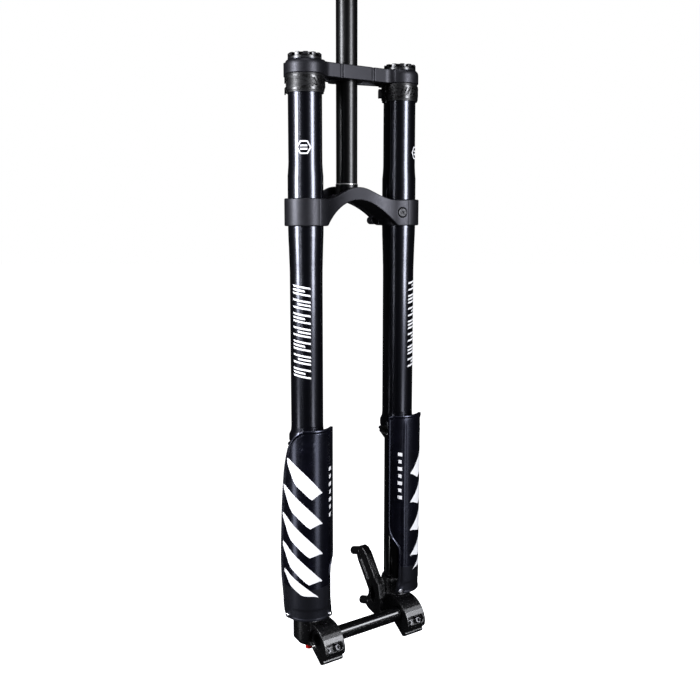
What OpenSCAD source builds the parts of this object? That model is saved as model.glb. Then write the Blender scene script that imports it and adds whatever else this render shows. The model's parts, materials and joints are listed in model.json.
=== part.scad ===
// Dual-crown inverted suspension fork. Millimetres, +Z up along the steerer,
// -Y is the front of the bicycle, +X is the rider's left.
// The origin is on the steerer axis, at the flat the crown race sits on. Heights below are
// measured from the top of the lower crown's clamps, and every module drops by seat_z.

/* [Overall] */
// Distance between the centres of the two legs
leg_spacing = 154; // [146:1:160]
// How far the legs stand in front of the steerer axis
leg_forward = 16.5; // [14:0.5:20]
// How far the wheel axle stands in front of the steerer axis
axle_forward = 48; // [46:0.5:52]
// Depth of the wheel axle below the top of the lower crown's clamps
axle_drop = 590; // [585:1:595]

/* [Steerer] */
// Outside diameter of the steerer
steerer_d = 28.6; // [28.6:0.1:28.6]
// Inside diameter of the steerer
steerer_bore_d = 23.2; // [22:0.1:25]
// Height of the steerer's top end
steerer_top = 285; // [262:1:300]
// Diameter of the crown race seat
race_d = 30; // [29.8:0.1:30.1]
// Height of the crown race seat above the top of the lower crown's clamps
seat_z = 6.5; // [6:0.5:7]

/* [Crowns] */
// Bottom face of the upper crown
uc_z = 153.5; // [150:0.5:156]
// Thickness of the upper crown
uc_h = 18; // [16:0.5:20]
// Outside radius of the upper crown's leg clamps
uc_ring_r = 25.4; // [25:0.1:27]
// Height of the lower crown's leg clamps
lc_h = 35.3; // [32:0.1:38]
// Outside radius of the lower crown's leg clamps
lc_ring_r = 27.6; // [27:0.1:29]
// Height of the arch above the clamps' top
arch_rise = 15.6; // [12:0.1:18]

/* [Legs] */
// Outer tube radius at the top clamp
tube_top_r = 21.8; // [21.6:0.1:22]
// Outer tube radius in the lower crown
tube_clamp_r = 23; // [22.8:0.1:23.2]
// Outer tube radius below the taper
tube_low_r = 21.4; // [21.2:0.1:21.6]
// Bore radius of the outer tubes
tube_bore_r = 19.6; // [19.5:0.1:19.8]
// Stanchion radius
stan_r = 18; // [18:0.1:18]
// Stanchion bore radius
stan_bore_r = 16; // [15.5:0.1:16]
// Bottom end of the outer tubes
tube_end = -318; // [-322:1:-316]
// Top end of the stanchions
stan_top = -90; // [-95:1:-85]

/* [Wheel end] */
// Gap between the dropouts for the hub
hub_gap = 110; // [110:1:110]
// Width of each axle clamp
clamp_w = 32; // [30:1:34]
// Radius of the axle
axle_r = 10; // [10:0.1:10]
// Distance between the two brake mount bolts
post_gap = 74.2; // [74.2:0.1:74.2]
// Lean of the line through the brake mount bolts
post_lean = 17.7; // [15:0.1:20]

/* [Guards] */
// Outside radius of the guards
guard_r = 33; // [32:0.5:34]
// Wall of the guards
guard_t = 2.4; // [2:0.1:3]

/* [Hidden] */
$fn = 72;
lx = leg_spacing / 2;
ly = -leg_forward;
ay = -axle_forward;
az = -axle_drop;
sr = steerer_d / 2;
uct = uc_z + uc_h;
bz = -lc_h / 2;          // height of the lower crown's bolts
by = 10.6;               // line of the lower crown's bolts
in_x = hub_gap / 2;      // inner face of each axle clamp
out_x = in_x + clamp_w;  // outer face of each axle clamp
mid_x = in_x + clamp_w / 2;
foot = -604.5;           // underside of the legs' feet

// ---------- shared shapes ----------
function mir(s, p) = [for (q = p) [s * q[0], q[1]]];
// top and bottom edges of the lower crown's arch against the distance from the centre
function zt(x) = -1 + (arch_rise + 1) * (1 + cos(180 * min(abs(x), 58) / 58)) / 2;
function zb(x) = max(-lc_h, -1.3 - 0.0103 * x * x);
// front and rear faces of the lower crown seen from above
function yf(x) = abs(x) < 58 ? -30 - 13.4 * pow(abs(x) / 64, 3) : -40 - 4.05 * sin(90 * (min(abs(x), 75) - 58) / 17);
function yr(x) = 11 + 18 * (1 + cos(180 * min(abs(x), 62) / 62)) / 2;

module at_legs() for (s = [-1, 1]) translate([s * lx, ly, 0]) children();
module tube(r1, r0, z0, z1) translate([0, 0, z0]) difference() {
  cylinder(r = r1, h = z1 - z0);
  translate([0, 0, -1]) cylinder(r = r0, h = z1 - z0 + 2);
}
module along_x(x0, x1, r) translate([x0, 0, 0]) rotate([0, 90, 0]) cylinder(r = r, h = x1 - x0);
// socket-head screw along +Z: head bottom at z = 0, shank below
module screw(r, l, hr, hh, key) difference() {
  union() {
    translate([0, 0, -l]) cylinder(r1 = r - 0.6, r2 = r, h = 0.6);
    translate([0, 0, -l + 0.6]) cylinder(r = r, h = l - 0.6);
    cylinder(r = hr, h = hh - 0.5);
    translate([0, 0, hh - 0.5]) cylinder(r1 = hr, r2 = hr - 0.5, h = 0.5);
  }
  translate([0, 0, hh * 0.4]) cylinder(r = key, h = hh, $fn = 6);
}

// ---------- steerer and crowns ----------
module steerer() color([0.05, 0.05, 0.055]) translate([0, 0, -seat_z]) difference() {
  rotate_extrude() polygon([[0, -1.3], [14.6, -1.3], [14.6, seat_z], [race_d / 2, seat_z], [race_d / 2, 20],
    [sr, 20.7], [sr, uct - 0.7], [sr - 0.4, uct - 0.7], [sr - 0.4, uct + 0.1], [sr, uct + 0.1],
    [sr, steerer_top - 0.8], [sr - 0.8, steerer_top], [0, steerer_top]]);
  translate([0, 0, -5]) cylinder(d = steerer_bore_d, h = steerer_top + 10);
}

module uc_plan() {
  for (s = [-1, 1]) {
    // rear boss of the leg clamp
    translate([s * lx, 0]) polygon([[-13, 0], [13, 0], [13, 2], [11, 17], [8, 19], [-8, 19], [-11, 17], [-13, 2]]);
  }
  circle(r = 22);
  // rear arms
  polygon([[-76, 3], [-70, -4], [-58, 3], [-30, 9.5], [0, 11], [30, 9.5], [58, 3], [70, -4], [76, 3], [70, 10], [58, 11], [32, 17], [0, 21],
    [-32, 17], [-58, 11], [-70, 10]]);
  // front bar, with a hollow curve where it meets each leg clamp
  difference() {
    polygon([[-62, -36], [-45.1, -25.6], [45.1, -25.6], [62, -36], [70, -34], [70, -17.5], [20, -16.5], [-20, -16.5], [-70, -17.5], [-70, -34]]);
    for (s = [-1, 1]) translate([s * 45.1, -39.6]) circle(r = 14);
  }
  // rear boss of the steerer clamp
  polygon([[-13, 10], [13, 10], [12, 27], [10, 29], [-10, 29], [-12, 27]]);
}
module upper_crown() color([0.09, 0.09, 0.1]) translate([0, 0, -seat_z]) difference() {
  union() {
    translate([0, 0, uc_z]) linear_extrude(height = uc_h) uc_plan();
    at_legs() translate([0, 0, uc_z]) rotate_extrude() polygon([[0, 0], [uc_ring_r - 1.2, 0], [uc_ring_r - 0.4, 0.4], [uc_ring_r, 1.2],
      [uc_ring_r, uc_h - 6], [uc_ring_r - 0.4, uc_h - 3.8], [uc_ring_r - 1.3, uc_h - 1.8], [uc_ring_r - 2.6, uc_h - 0.5], [uc_ring_r - 3.6, uc_h],
      [0, uc_h]]);
  }
  translate([0, 0, uc_z - 1]) cylinder(r = sr + 0.02, h = uc_h + 2);
  at_legs() translate([0, 0, uc_z - 1]) cylinder(r = tube_top_r, h = uc_h + 2);
  // clamp slits
  translate([-0.9, 12, uc_z - 1]) cube([1.8, 20, uc_h + 2]);
  for (s = [-1, 1]) translate([s * lx - 0.9, 1, uc_z - 1]) cube([1.8, 20, uc_h + 2]);
  // lowered rear arms
  for (s = [-1, 1]) translate([s * 38 - 22, 4.5, uct - 6]) cube([44, 30, 10]);
  // two upright grooves in the front bar
  for (s = [-1, 1]) translate([s * 25.3 - 1.7, -27, uc_z - 1]) cube([3.4, 3, uc_h + 2]);
  // steerer pinch bolts
  for (z = [uc_z + 4.8, uct - 4.8]) translate([0, 23, z]) {
    along_x(-20, 20, 2.1);
    along_x(0.9, 20, 2.7);
    along_x(8.5, 20, 4.6);
  }
  // leg pinch bolts, put in from the inboard side
  for (s = [-1, 1]) translate([s * lx, 12.5, uc_z + uc_h / 2]) rotate([0, s < 0 ? 180 : 0, 0]) {
    along_x(-20, 10, 2.5);
    along_x(-20, -0.9, 2.8);
    along_x(-20, -7.5, 4.6);
  }
}
module upper_crown_bolts() color([0.2, 0.2, 0.21]) translate([0, 0, -seat_z]) {
  for (z = [uc_z + 4.8, uct - 4.8]) translate([8.5, 23, z]) rotate([0, 90, 0]) screw(2.1, 18, 3.9, 4.4, 1.9);
  for (s = [-1, 1]) translate([s * (lx - 7.5), 12.5, uc_z + uc_h / 2]) rotate([0, -s * 90, 0]) screw(2.5, 17, 4.2, 5, 2.3);
}

module arch_solid(top, low) rotate([90, 0, 0]) linear_extrude(height = 120, center = true)
  polygon(concat([for (x = [-72:3:72]) [x, zt(x) + top]], [for (x = [72:-3:-72]) [x, zb(x) + low]]));
module band(a, b) translate([0, 0, -60]) linear_extrude(height = 120)
  polygon(concat([for (x = [-72:3:72]) [x, a == 0 ? yf(x) : yr(x) - 8]], [for (x = [72:-3:-72]) [x, b == 0 ? yr(x) : yf(x) + 8.5]]));
// frame of the hose clip screw: +z straight out of the crown
module at_clip() translate([63.2, -42.3, bz]) rotate([0, 0, -24.8]) rotate([90, 0, 0]) children();
module lc_ring() rotate_extrude() polygon([[0, -lc_h], [lc_ring_r - 0.8, -lc_h], [lc_ring_r, -lc_h + 0.8],
  [lc_ring_r, -0.8], [lc_ring_r - 0.8, 0], [0, 0]]);
module lower_crown() color([0.1, 0.1, 0.11]) translate([0, 0, -seat_z]) difference() {
  union() {
    at_legs() lc_ring();
    // front wall
    intersection() { arch_solid(0, 0); band(0, 1); }
    // rear wall, a little higher
    intersection() { arch_solid(2, 0); band(1, 0); }
    // web that joins the two walls
    intersection() {
      rotate([90, 0, 0]) linear_extrude(height = 120, center = true)
        polygon(concat([for (x = [-54:3:54]) [x, zb(x) + 8.5]], [for (x = [54:-3:-54]) [x, zb(x) + 2.5]]));
      band(0, 0);
    }
    // hub round the steerer
    translate([0, 0, -1.3]) cylinder(r = 19.5, h = 7.8);
    // pads for the pinch bolts behind the leg clamps
    for (s = [-1, 1]) translate([0, 0, -lc_h + 1]) linear_extrude(height = lc_h - 2) {
      translate([s * (lx - 4), by - 2.6]) circle(r = 9);
      translate([s * (lx + 4), by - 2.6]) circle(r = 9);
      translate([s * lx - 4, by - 13.6]) square([8, 20]);
    }
    // boss for the brake hose guide
    translate([51, 4, -28.5]) rotate([-90, 0, 0]) cylinder(r = 5.5, h = 12);
  }
  translate([0, 0, -20]) cylinder(r = 14.6, h = 26.5);
  // room for the crown race
  translate([0, 0, seat_z]) cylinder(r = 20.8, h = 40);
  at_legs() translate([0, 0, -60]) cylinder(r = tube_clamp_r, h = 80);
  // clamp slits and bolt holes
  for (s = [-1, 1]) {
    translate([s * (lx + 1.5) - 0.75, by - 13.6, -60]) cube([1.5, 30, 70]);
    translate([s * lx, by, bz]) rotate([0, s < 0 ? 0 : 180, 0]) {
      along_x(-40, -7, 6.4);
      along_x(-10, -1.5, 3.3);
      along_x(-4, 11, 3);
    }
  }
  // round recess for the hose clip screw in front of the left clamp
  at_clip() {
    translate([0, 0, -2.2]) cylinder(r = 6.6, h = 12);
    translate([0, 0, -5.9]) cylinder(r = 2.5, h = 5);
  }
  translate([51, 6, -28.5]) rotate([-90, 0, 0]) cylinder(r = 2.1, h = 12);
}
module lower_crown_bolts() color([0.25, 0.25, 0.26]) translate([0, 0, -seat_z]) {
  for (s = [-1, 1]) translate([s * (lx + 7), by, bz]) rotate([0, s * 90, 0]) screw(3, 17.5, 5.2, 5.5, 2.9);
  at_clip() translate([0, 0, -2.2]) screw(2.5, 3.5, 5.5, 2.6, 2.2);
}

// ---------- upper legs ----------
module outer_tube() rotate_extrude() polygon([
  [tube_bore_r, -304], [tube_bore_r, 156], [20.1, 156.5], [20.1, uct], [tube_top_r, uct],
  [tube_top_r, 46], [tube_top_r + 0.2, 41], [tube_top_r + 0.9, 31], [tube_clamp_r, 28.6],
  [tube_clamp_r, -38], [tube_clamp_r - 0.2, -48], [tube_clamp_r - 0.7, -62], [tube_low_r + 0.4, -80], [tube_low_r + 0.1, -92],
  [tube_low_r, -104], [tube_low_r, -299], [tube_low_r + 0.5, -305], [24.2, -310], [24.5, -311.5], [24.5, tube_end + 0.6], [23.9, tube_end],
  [22, tube_end], [22, -309.5], [20.6, -309.5], [20.6, -304]]);
module right_outer_tube() color([0.02, 0.02, 0.025]) translate([0, 0, -seat_z]) translate([-lx, ly, 0]) outer_tube();
module left_outer_tube() color([0.02, 0.02, 0.025]) translate([0, 0, -seat_z]) translate([lx, ly, 0]) outer_tube();

module cap_body() difference() {
  rotate_extrude() polygon([[0, 157], [19.2, 157], [20.1, 158], [20.1, uct], [21.2, uct], [21.5, uct + 0.4],
    [21.5, uct + 2.6], [20.8, uct + 3], [20.8, uct + 3.4], [21.4, uct + 3.8], [21.4, uct + 7.2], [20.8, uct + 7.8],
    [14.6, uct + 7.8], [14, uct + 7.2], [14, uct + 2.5], [0, uct + 2.5]]);
  for (a = [0:30:330]) rotate([0, 0, a + 15]) translate([17.2, -2.7, uct + 3.8]) cube([8, 5.4, 8]);
}
module right_top_cap() color([0.04, 0.04, 0.045]) translate([0, 0, -seat_z]) translate([-lx, ly, 0]) difference() {
  cap_body();
  translate([0, 0, 150]) cylinder(r = 5, h = 40);
  translate([0, 0, 150]) cylinder(r = 12.5, h = 14);
}
module left_top_cap() color([0.04, 0.04, 0.045]) translate([0, 0, -seat_z]) translate([lx, ly, 0]) difference() {
  cap_body();
  translate([0, 0, 150]) cylinder(r = 6, h = 14);
  translate([0, 0, 150]) cylinder(r = 4, h = 40);
}
module compression_knob() color([0.1, 0.1, 0.11]) translate([0, 0, -seat_z]) translate([-lx, ly, uct + 2.9]) difference() {
  union() {
    cylinder(r = 10.5, h = 3.6);
    translate([0, 0, 3.6]) cylinder(r1 = 10.5, r2 = 9.6, h = 0.9);
    translate([0, 0, -4]) cylinder(r = 4.7, h = 4.2);
  }
  for (a = [0:30:330]) rotate([0, 0, a]) translate([11.3, 0, -1]) cylinder(r = 1.6, h = 8);
  translate([0, 0, 2.2]) cylinder(r = 3, h = 8, $fn = 6);
}

// bumper sleeve with a thick pad towards the frame and slanting ribs in front
module bumper(s) {
  difference() {
    union() {
      translate([0, 0, 131]) cylinder(r = 24, h = 22.5);
      rotate([0, 0, s < 0 ? 35 : 145]) translate([10, -9, 134]) cube([19, 18, 17]);
    }
    translate([0, 0, 120]) cylinder(r = tube_top_r, h = 40);
    for (z = [133.6, 147.4]) tube(40, 23.2, z, z + 3.6);
  }
  intersection() {
    tube(25.2, 23.7, 137.2, 147.4);
    for (i = [0:3]) rotate([0, 0, -64 + i * 11]) translate([20, -1.1, 142.3]) rotate([18, 0, 0]) cube([12, 2.2, 22], center = true);
  }
}
module right_frame_bumper() color([0.07, 0.07, 0.08]) translate([0, 0, -seat_z]) translate([-lx, ly, 0]) bumper(-1);
module left_frame_bumper() color([0.07, 0.07, 0.08]) translate([0, 0, -seat_z]) translate([lx, ly, 0]) bumper(1);
module bumper_straps() color([0.06, 0.06, 0.06]) translate([0, 0, -seat_z]) for (s = [-1, 1]) translate([s * lx, ly, 0])
  for (z = [133.8, 147.6]) {
    tube(24.9, 23.2, z, z + 3.2);
    // tail that hangs at the back, outboard on the right leg and inboard on the left
    rotate([0, 0, s < 0 ? 152 : 180]) translate([24.2, -1.6, z - 5]) cube([1.6, 3.2, 8.2]);
    rotate([0, 0, s < 0 ? 170 : 198]) translate([24.2, -1.4, z - 3]) cube([1.3, 2.8, 6.2]);
  }

module upper_bushings() color([0.5, 0.42, 0.2]) translate([0, 0, -seat_z]) at_legs() tube(tube_bore_r, stan_r + 0.05, -140, -112);
module lower_bushings() color([0.5, 0.42, 0.2]) translate([0, 0, -seat_z]) at_legs() tube(tube_bore_r, stan_r + 0.05, -300, -272);
module foam_rings() color([0.3, 0.3, 0.3]) translate([0, 0, -seat_z]) at_legs() tube(20.6, stan_r + 0.3, -309.3, -304.2);
module oil_seals() color([0.15, 0.1, 0.08]) translate([0, 0, -seat_z]) at_legs() tube(22, stan_r + 0.3, -315.6, -309.6);
module dust_wipers() color([0.03, 0.03, 0.03]) translate([0, 0, -seat_z]) at_legs() difference() {
  rotate_extrude() polygon([[stan_r + 0.3, -315.7], [22, -315.7], [22, tube_end], [24.1, tube_end], [24.1, -319], [22.6, -319.6],
    [22.6, -321.8], [26.3, -323.4], [26.5, -324.1], [26.1, -324.4], [23.4, -324.6], [23.9, -326], [23.9, -330.5],
    [20.6, -335.2], [19.4, -337.2], [stan_r + 0.3, -337.4]]);
  translate([0, 0, -328.3]) rotate_extrude() translate([24.1, 0]) circle(r = 1.3, $fn = 24);
}
module wiper_springs() color([0.8, 0.8, 0.8]) translate([0, 0, -seat_z]) at_legs() translate([0, 0, -328.3])
  rotate_extrude() translate([24.1, 0]) circle(r = 1.3, $fn = 24);

// ---------- inside the right leg ----------
module damper_cartridge() color([0.6, 0.6, 0.62]) translate([0, 0, -seat_z]) translate([-lx, ly, 0]) tube(12.5, 11, -162, 164);
module damper_seal_head() color([0.4, 0.4, 0.42]) translate([0, 0, -seat_z]) translate([-lx, ly, 0]) tube(11, 5.05, -162, -150);
module compression_valve() color([0.55, 0.5, 0.3]) translate([0, 0, -seat_z]) translate([-lx, ly, 0]) {
  translate([0, 0, 112]) cylinder(r = 11, h = 12);
  translate([0, 0, 124]) cylinder(r = 4, h = 45.5);
}
module damper_rod() color([0.75, 0.75, 0.77]) translate([0, 0, -seat_z]) translate([-lx, ly, 0]) tube(5, 3, -608, -142);
module damper_piston() color([0.5, 0.45, 0.3]) translate([0, 0, -seat_z]) translate([-lx, ly, 0]) union() {
  tube(10.94, 5, -149, -142);
  translate([0, 0, -142]) cylinder(r = 6, h = 4);
}
module rebound_rod() color([0.6, 0.6, 0.6]) translate([0, 0, -seat_z]) translate([-lx, ly, -608.9]) cylinder(r = 2.6, h = 466.1);
module foot_nut() color([0.12, 0.12, 0.13]) translate([0, 0, -seat_z]) translate([-lx, ly, 0]) difference() {
  translate([0, 0, -608.5]) cylinder(r = 9, h = 4, $fn = 6);
  translate([0, 0, -610]) cylinder(r = 5, h = 10);
}
module rebound_knob() color([0.75, 0.04, 0.03]) translate([0, 0, -seat_z]) translate([-lx, ly, 0]) difference() {
  union() {
    translate([0, 0, -615.6]) cylinder(r1 = 4.3, r2 = 4.8, h = 0.6);
    translate([0, 0, -615]) cylinder(r = 4.8, h = 6.1);
  }
  for (a = [0:45:315]) rotate([0, 0, a]) translate([5.3, 0, -617]) cylinder(r = 0.9, h = 12);
  translate([0, 0, -617]) cylinder(r = 1.5, h = 3.5, $fn = 6);
}

// ---------- inside the left leg ----------
module air_shaft() color([0.7, 0.7, 0.72]) translate([0, 0, -seat_z]) translate([lx, ly, 0]) tube(6, 4, -128, 164);
module air_piston() color([0.2, 0.2, 0.2]) translate([0, 0, -seat_z]) translate([lx, ly, -146])
  difference() {
    cylinder(r = stan_bore_r - 0.06, h = 20.5);
    translate([0, 0, 18]) cylinder(r = 6, h = 10);
    translate([0, 0, 7]) tube(20, stan_bore_r - 1.6, 0, 3);
  }
module air_valve() color([0.75, 0.72, 0.6]) translate([0, 0, -seat_z]) translate([lx, ly, 0]) tube(4, 2, 160, uct + 6);
module air_valve_cap() color([0.05, 0.05, 0.05]) translate([0, 0, -seat_z]) translate([lx, ly, 0]) difference() {
  translate([0, 0, uct + 2.5]) cylinder(r = 5.6, h = 5.2);
  translate([0, 0, uct]) cylinder(r = 4, h = 6);
  for (a = [0:40:320]) rotate([0, 0, a]) translate([6, 0, uct]) cylinder(r = 0.7, h = 12);
}
module air_seal_head() color([0.4, 0.4, 0.42]) translate([0, 0, -seat_z]) translate([lx, ly, 0]) difference() {
  union() {
    translate([0, 0, -108]) cylinder(r = stan_bore_r, h = 18);
    translate([0, 0, -90]) cylinder(r = stan_r - 0.4, h = 3);
  }
  translate([0, 0, -120]) cylinder(r = 6.05, h = 50);
}
module top_out_bumper() color([0.1, 0.1, 0.1]) translate([0, 0, -seat_z]) translate([lx, ly, 0])
  rotate_extrude() polygon([[6.5, -124.5], [9.5, -124.5], [10.5, -121], [9.6, -117.5], [10.5, -114], [12, -108], [6.5, -108]]);

// ---------- lower legs ----------
module stanchion() tube(stan_r, stan_bore_r, -592, stan_top);
module right_stanchion() color([0.55, 0.5, 0.45]) translate([0, 0, -seat_z]) translate([-lx, ly, 0]) stanchion();
module left_stanchion() color([0.55, 0.5, 0.45]) translate([0, 0, -seat_z]) translate([lx, ly, 0]) stanchion();

// side outline of an axle clamp: forward distance and height from the axle
function clamp_outline() = [[-34, 20], [-20, 21.5], [-10, 20.6], [-2, 19.6], [4, 17.9], [9.5, 15.2], [14.5, 11.4], [18.8, 6.6], [22.2, 1],
  [24.4, -5], [25.3, -10.5], [24.6, -15], [22.4, -18.6], [18.6, -21.2], [18.9, -22.8], [20, -24.4], [18.6, -27.4], [15.4, -29.6], [11.6, -30.1],
  [-10.4, -13.5], [-18, -13.2], [-34, -13.2]];
module yz(x0, x1) translate([x0, 0, 0]) rotate([90, 0, 90]) linear_extrude(height = x1 - x0) children();
// frame of the pinch bolts: z = 0 where they cross the slit, +z towards the heads
module at_pinch(s) for (d = [-8, 8]) translate([s * mid_x + d, ay - 11.5, az - 15.5]) rotate([48.6, 0, 0]) children();
module dropout(s) {
  x0 = s > 0 ? in_x : -out_x;
  difference() {
    union() {
      // socket for the stanchion and stepped foot
      translate([s * lx, ly, 0]) rotate_extrude() polygon([[0, foot], [15, foot], [15.5, foot + 0.5], [15.5, -600.6], [18, -600.6],
        [18.4, -600.2], [18.4, -597], [21, -597], [21.4, -596.6], [21.4, -549], [20.4, -546], [19.4, -545], [0, -545]]);
      yz(x0, x0 + clamp_w) translate([ay, az]) polygon([for (p = clamp_outline()) [-p[0], p[1]]]);
      // stand-offs for the guard screws
      translate([s * lx, ly, -558]) {
        rotate([0, 0, s > 0 ? 0 : 180]) along_x(15, guard_r - guard_t, 3.6);
        rotate([0, 0, -90 - s * 26]) along_x(15, guard_r - guard_t, 3.6);
      }
    }
    translate([s * lx, ly, -592]) cylinder(r = stan_r, h = 60);
    // screw holes
    translate([s * lx, ly, -558]) {
      rotate([0, 0, s > 0 ? 0 : 180]) along_x(22, 50, 1.5);
      rotate([0, 0, -90 - s * 26]) along_x(22, 50, 1.5);
    }
    // slit that runs from the axle hole to the front lower edge
    translate([s * mid_x, ay, az]) rotate([-143.13, 0, 0]) translate([-30, -0.8, 0]) cube([60, 1.6, 60]);
    at_pinch(s) {
      translate([0, 0, -10]) cylinder(r = 2.5, h = 16);
      cylinder(r = 2.8, h = 10);
    }
    // long pocket that both pinch bolt heads sit in
    at_pinch(s) translate([0, 0, 5]) cylinder(r = 4.9, h = 30);
    translate([s * mid_x, ay - 11.5, az - 15.5]) rotate([48.6, 0, 0]) translate([-8, -4.9, 5]) cube([16, 9.8, 30]);
  }
}
module hex_x(x0, x1, r) translate([x0, ay, az]) rotate([0, 90, 0]) cylinder(r = r, h = x1 - x0, $fn = 6);
module right_dropout() color([0.06, 0.06, 0.065]) translate([0, 0, -seat_z]) difference() {
  dropout(-1);
  hex_x(-out_x - 1, -in_x + 1, 13.4);
  translate([0, ay, az]) along_x(-out_x - 1, -out_x + 4, 14.2);
  // hole for the damper rod
  translate([-lx, ly, foot - 5]) cylinder(r = 5.3, h = 30);
}
module left_dropout() color([0.06, 0.06, 0.065]) translate([0, 0, -seat_z]) {
  c = [41, -560];
  hl = post_gap / 2;
  pu = c + hl * [sin(post_lean), cos(post_lean)];
  pl = c - hl * [sin(post_lean), cos(post_lean)];
  out = [cos(post_lean), -sin(post_lean)];
  difference() {
    union() {
      dropout(1);
      // gusset that carries the brake posts
      difference() {
        yz(44.5, 56) polygon([[36, -514], [30, -509.5], [22, -510.5], [14, -517], [-4, -543], [-16, -556], [-20, -575], [-20, -602],
          [-6, -603.5], [8, -600], [14, -596], [12, -583], [8, -577], [7.5, -570], [34, -533], [38, -524]]);
        // triangular window and shallow relief beside it
        yz(40, 60) polygon([[-1, -560], [3.5, -567], [2.5, -584], [-6, -586], [-9, -572]]);
        yz(40, 46.5) polygon([[26, -518], [20, -520], [2, -546], [9, -556], [28, -530]]);
      }
      yz(50, 66) polygon([[-4, -552], [-12, -556], [-18, -575], [-18, -600], [-4, -600], [-1, -592], [-1, -560]]);
      // posts
      for (p = [pu, pl]) translate([50, p[0], p[1]]) rotate([-90 - post_lean, 0, 0]) translate([0, 0, -21]) cylinder(r = 6.2, h = 21);
    }
    for (p = [pu, pl]) translate([50, p[0], p[1]]) rotate([-90 - post_lean, 0, 0]) translate([0, 0, -18]) cylinder(r = 2.5, h = 20);
    hex_x(in_x, out_x - 2.5, 9.95);
    hex_x(in_x, out_x + 1, 6);
    translate([0, ay, az]) along_x(in_x - 1, in_x + 3, axle_r + 0.9);
    translate([lx, ly, -592]) cylinder(r = stan_r, h = 60);
  }
}
module axle_pinch_bolts() color([0.3, 0.3, 0.31]) translate([0, 0, -seat_z]) for (s = [-1, 1]) at_pinch(s) translate([0, 0, 5]) screw(2.5, 14.6, 4.25, 5, 2.3);
module through_axle() color([0.05, 0.05, 0.055]) translate([0, 0, -seat_z]) difference() {
  union() {
    translate([0, ay, az]) along_x(-in_x - 3, in_x + 2.8, axle_r);
    hex_x(in_x + 2.7, out_x - 3, 9.85);
    hex_x(-out_x + 3, -in_x - 2.9, 13.3);
  }
  translate([0, ay, az]) along_x(-out_x - 1, out_x - 8, 6.5);
  hex_x(-out_x - 1, -out_x + 12, 8.6);
}

// ---------- guards ----------
// rear edge of the outboard side and of the inboard side, as forward/back distance and height
function edge_out() = [[-42, -299.2], [-36.5, -302.6], [-32, -306], [-27.5, -311], [-23.6, -317], [-19.2, -325.5], [-15.4, -336],
  [-11.8, -348], [-9, -361], [-5.8, -384], [-3.2, -408], [-1.3, -440], [0.2, -466], [0.6, -488], [-0.4, -508], [-3, -524], [-5, -536], [-5.4, -548],
  [-6.4, -556], [-10.5, -561], [-18, -563]];
function edge_in() = [[-40, -299.2], [-33.5, -302], [-32.4, -304], [-32.2, -330], [-32.2, -462], [-33.4, -470], [-36.4, -479], [-40.4, -486.5],
  [-43.6, -493], [-44.4, -502], [-44.4, -536], [-43.2, -546], [-42, -558], [-43, -563]];
module guard_section(r, t) {
  difference() {
    circle(r = r);
    circle(r = r - t);
    translate([-60, 0]) square([120, 60]);
    rotate([0, 0, -20]) translate([-60, 0]) square([60, 70]);
  }
  translate([r - t, 0]) square([t, 22]);
}
// what is cut away behind one of the edges, on one side of the leg
module behind(e, x0) translate([x0, -ly, 0]) rotate([90, 0, 90]) linear_extrude(height = 55)
  polygon(concat([[-56, -290], [-56, e[0][1]]], e, [[-56, e[len(e) - 1][1]], [-56, -575], [40, -575], [40, -290]]));
// drawn for the left leg, with outboard on +X
module guard_shape() difference() {
  union() {
    difference() {
      translate([0, 0, -562.6]) linear_extrude(height = 263) guard_section(guard_r, guard_t);
      behind(edge_out(), 3);
      behind(edge_in(), -58);
    }
    // bottom pads round the screws
    translate([0, 0, -558]) along_x(guard_r - 1.4, guard_r + 1.2, 4.4);
    translate([0, 0, -558]) rotate([0, 0, -116]) along_x(guard_r - 1.4, guard_r + 1.2, 4.4);
  }
  translate([0, 0, -558]) along_x(20, 60, 1.7);
  translate([0, 0, -558]) rotate([0, 0, -116]) along_x(20, 60, 1.7);
}
module left_guard() color([0.05, 0.05, 0.07]) translate([0, 0, -seat_z]) translate([lx, ly, 0]) guard_shape();
module right_guard() color([0.05, 0.05, 0.07]) translate([0, 0, -seat_z]) translate([-lx, ly, 0]) mirror([1, 0, 0]) guard_shape();
module guard_screws() color([0.5, 0.5, 0.52]) translate([0, 0, -seat_z]) for (s = [-1, 1]) translate([s * lx, ly, -558]) {
  rotate([0, 0, s > 0 ? 0 : 180]) translate([guard_r + 1.2, 0, 0]) rotate([0, 90, 0]) screw(1.5, 9, 3.2, 1.8, 1.2);
  rotate([0, 0, -90 - s * 26]) translate([guard_r + 1.2, 0, 0]) rotate([0, 90, 0]) screw(1.5, 9, 3.2, 1.8, 1.2);
}

steerer();
upper_crown();
upper_crown_bolts();
lower_crown();
lower_crown_bolts();
right_outer_tube();
left_outer_tube();
right_top_cap();
left_top_cap();
right_frame_bumper();
left_frame_bumper();
bumper_straps();
upper_bushings();
lower_bushings();
oil_seals();
foam_rings();
dust_wipers();
wiper_springs();
damper_cartridge();
damper_seal_head();
compression_valve();
air_shaft();
air_piston();
air_valve();
air_valve_cap();
compression_knob();
right_stanchion();
left_stanchion();
right_dropout();
left_dropout();
right_guard();
left_guard();
guard_screws();
axle_pinch_bolts();
damper_rod();
damper_piston();
rebound_rod();
air_seal_head();
top_out_bumper();
foot_nut();
rebound_knob();
through_axle();
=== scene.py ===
import json
import math
import bpy
import bmesh
import numpy as np
from mathutils import Vector, Matrix

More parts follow.
